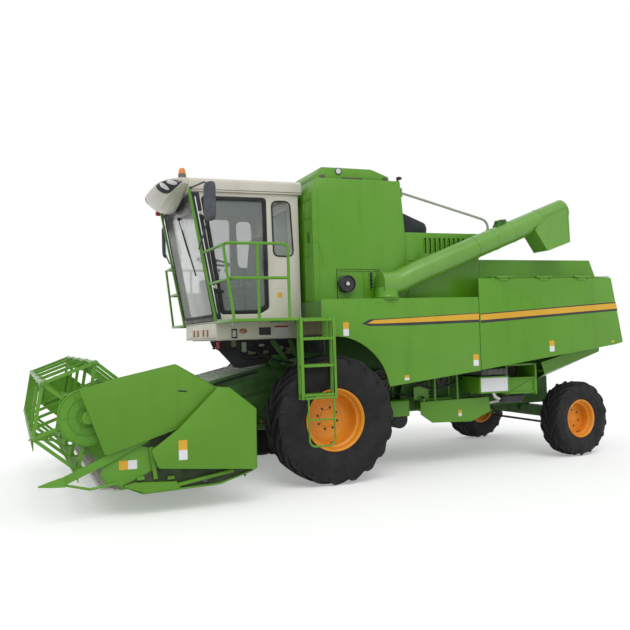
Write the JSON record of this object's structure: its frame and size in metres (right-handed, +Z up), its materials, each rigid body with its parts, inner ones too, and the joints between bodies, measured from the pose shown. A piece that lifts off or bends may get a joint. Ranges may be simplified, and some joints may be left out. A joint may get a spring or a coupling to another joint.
{
  "type": "combine harvester",
  "caption": "Self-propelled grain harvester with a cab, a grain tank, a folded unloading auger and a wide header with a tined reel, on two driven front wheels and two steered rear wheels.",
  "frame": {"origin": "middle of the machine's bounding box in plan, on the ground it stands on", "axes": "+X forward to the header, +Y to the machine's left side, +Z up"},
  "size_m": [7.5016, 4.072, 3.67],
  "materials": {
    "green_paint": "gloss",
    "pale_paint": "satin",
    "black_paint": "satin",
    "orange_paint": "gloss",
    "tyre_rubber": "matt",
    "dark_steel": "matt",
    "bare_steel": "brushed",
    "pale_plastic": "gloss",
    "dark_plastic": "matt",
    "amber_plastic": "gloss",
    "tinted_glass": "clear",
    "seat_cloth": "woven"
  },
  "bodies": {
    "base": {"chassis_frame": "black_paint", "front_axle": "black_paint", "rear_axle": "black_paint", "threshing_body": "green_paint", "straw_hood": "green_paint", "hood_top": "green_paint", "front_panels": "green_paint", "engine_deck": "green_paint", "engine_block": "dark_steel", "air_intake": "dark_plastic", "grain_tank": "green_paint", "tank_cover": "green_paint", "auger_stay": "black_paint", "cab_base": "pale_paint", "cab_walls": "pale_paint", "cab_glass": "tinted_glass", "cab_roof": "pale_plastic", "beacon": "amber_plastic", "seat": "seat_cloth", "steering_column": "dark_plastic", "console": "dark_plastic", "walkways": "green_paint", "hand_rails": "green_paint", "ladder": "green_paint", "mirrors": "dark_plastic", "lower_guards": "green_paint"},
    "left_front_wheel": {"front_tyre_left": "tyre_rubber", "front_rim_left": "orange_paint"},
    "right_front_wheel": {"front_tyre_right": "tyre_rubber", "front_rim_right": "orange_paint"},
    "left_knuckle": {"knuckle_left": "black_paint"},
    "right_knuckle": {"knuckle_right": "black_paint"},
    "left_rear_wheel": {"rear_tyre_left": "tyre_rubber", "rear_rim_left": "orange_paint"},
    "right_rear_wheel": {"rear_tyre_right": "tyre_rubber", "rear_rim_right": "orange_paint"},
    "steering_tie": {"tie_rod": "bare_steel"},
    "left_side_lid": {"left_lid": "green_paint"},
    "right_side_lid": {"right_lid": "green_paint"},
    "door": {"cab_door": "black_paint", "door_glass": "tinted_glass"},
    "hoop": {"ladder_hoop": "green_paint"},
    "unloader": {"unloading_auger": "green_paint"},
    "header": {"feeder_house": "green_paint", "header_trough": "green_paint", "cutter_bar": "dark_steel", "dividers": "green_paint", "end_covers": "green_paint"},
    "screw": {"header_screw": "green_paint"},
    "arms": {"reel_arms": "green_paint", "reel_shields": "green_paint"},
    "reel": {"reel": "green_paint"},
    "lift_barrel_pair": {"lift_barrels": "black_paint"},
    "lift_rod_pair": {"lift_rods": "bare_steel"}
  },
  "joints": [
    {"name": "left_front_spin", "type": "hinge", "parent": "base", "child": "left_front_wheel", "pos_m": [0.52918, 1.278, 0.728], "axis": [0, 1, 0], "continuous": true},
    {"name": "right_front_spin", "type": "hinge", "parent": "base", "child": "right_front_wheel", "pos_m": [0.52918, -1.278, 0.728], "axis": [0, 1, 0], "continuous": true},
    {"name": "left_steer", "type": "hinge", "parent": "base", "child": "left_knuckle", "pos_m": [-2.99582, 0.89, 0.485], "axis": [0, 0, 1], "range_deg": [-43, 27]},
    {"name": "right_steer", "type": "hinge", "parent": "base", "child": "right_knuckle", "pos_m": [-2.99582, -0.89, 0.485], "axis": [0, 0, 1], "range_deg": [-43, 27]},
    {"name": "tie_swing", "type": "hinge", "parent": "left_knuckle", "child": "steering_tie", "pos_m": [-3.16417, 0.86634, 0.352], "axis": [0, 0, 1], "range_deg": [-27, 43]},
    {"name": "left_rear_spin", "type": "hinge", "parent": "left_knuckle", "child": "left_rear_wheel", "pos_m": [-3.02811, 1.11974, 0.485], "axis": [-0.1392, 0.9903, 0], "continuous": true},
    {"name": "right_rear_spin", "type": "hinge", "parent": "right_knuckle", "child": "right_rear_wheel", "pos_m": [-2.96353, -1.11974, 0.485], "axis": [-0.1392, 0.9903, 0], "continuous": true},
    {"name": "left_lid_lift", "type": "hinge", "parent": "base", "child": "left_side_lid", "pos_m": [-1.45582, 1.394, 2.332], "axis": [1, 0, 0], "range_deg": [0, 60]},
    {"name": "right_lid_lift", "type": "hinge", "parent": "base", "child": "right_side_lid", "pos_m": [-1.45582, -1.394, 2.332], "axis": [-1, 0, 0], "range_deg": [0, 60]},
    {"name": "door_swing", "type": "hinge", "parent": "base", "child": "door", "pos_m": [1.67487, 0.813, 2.2], "axis": [-0.1655, 0, -0.9862], "range_deg": [0, 80]},
    {"name": "hoop_swing", "type": "hinge", "parent": "base", "child": "hoop", "pos_m": [0.57918, 1.656, 1], "axis": [1, 0, 0], "range_deg": [0, 150]},
    {"name": "unloader_swing", "type": "hinge", "parent": "base", "child": "unloader", "pos_m": [-0.26082, 1.262, 2.098], "axis": [0, 0, -1], "range_deg": [0, 95]},
    {"name": "header_lift", "type": "hinge", "parent": "base", "child": "header", "pos_m": [0.78918, 0, 1.19], "axis": [0, -1, 0], "range_deg": [-5, 25]},
    {"name": "lift_barrel_swing", "type": "hinge", "parent": "base", "child": "lift_barrel_pair", "pos_m": [0.91418, 0, 0.59], "axis": [0, -1, 0], "range_deg": [-6.5, 27]},
    {"name": "lift_rod_slide", "type": "slide", "parent": "lift_barrel_pair", "child": "lift_rod_pair", "axis": [1, 0, 0], "range_m": [-0.06, 0.29]},
    {"name": "screw_spin", "type": "hinge", "parent": "header", "child": "screw", "pos_m": [2.17918, 0, 0.59], "axis": [0, 1, 0], "continuous": true},
    {"name": "arms_lift", "type": "hinge", "parent": "header", "child": "arms", "pos_m": [2.04918, 0, 1.12], "axis": [0, -1, 0], "range_deg": [-2, 20]},
    {"name": "reel_spin", "type": "hinge", "parent": "arms", "child": "reel", "pos_m": [3.23918, 0, 0.975], "axis": [0, 1, 0], "continuous": true}
  ],
  "couplings": [
    {"joint": "right_steer", "follows": "left_steer", "ratio": 1},
    {"joint": "tie_swing", "follows": "left_steer", "ratio": -1},
    {"joint": "lift_barrel_swing", "follows": "header_lift", "ratio": 1.03},
    {"joint": "lift_rod_slide", "follows": "header_lift", "m_per_rad": 0.605}
  ]
}
